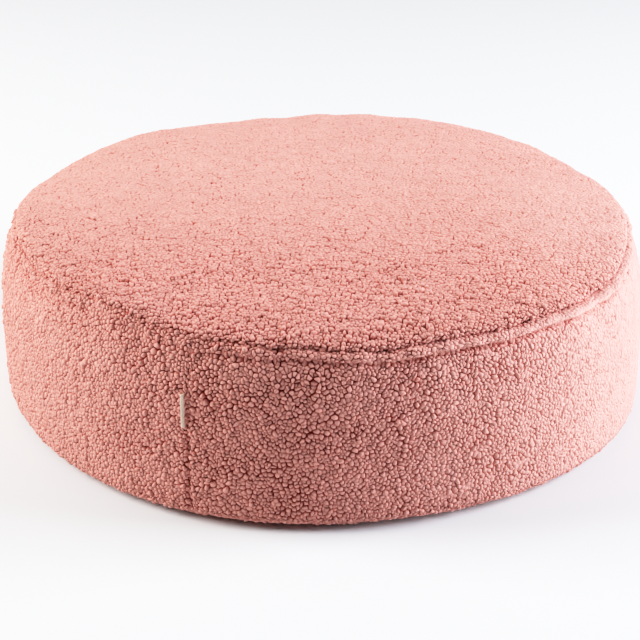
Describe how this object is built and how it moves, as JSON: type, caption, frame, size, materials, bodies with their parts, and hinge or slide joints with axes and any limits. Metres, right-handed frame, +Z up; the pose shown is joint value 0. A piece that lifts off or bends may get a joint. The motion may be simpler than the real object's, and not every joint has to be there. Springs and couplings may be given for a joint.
{
  "type": "teddy pouf",
  "caption": "Low round floor pouf in curly teddy cloth, with a crowned top, a raised rib under its top seam, an upright side seam and a small folded ribbon label",
  "frame": {"origin": "on the floor, under the middle of the pouf's box", "axes": "+Z up; -Y is the front, where the upright seam and its label are, a little to the left; +X to the right seen from the front"},
  "size_m": [0.6986, 0.6996, 0.209],
  "materials": {
    "teddy_cloth": "dusty rose curly teddy pile, matt, with soft lighter tips and dark gaps between the curls",
    "ribbon": "ivory woven ribbon, matt, plain"
  },
  "bodies": {
    "root": {"pouf_body": "teddy_cloth", "label": "ribbon"}
  },
  "joints": []
}
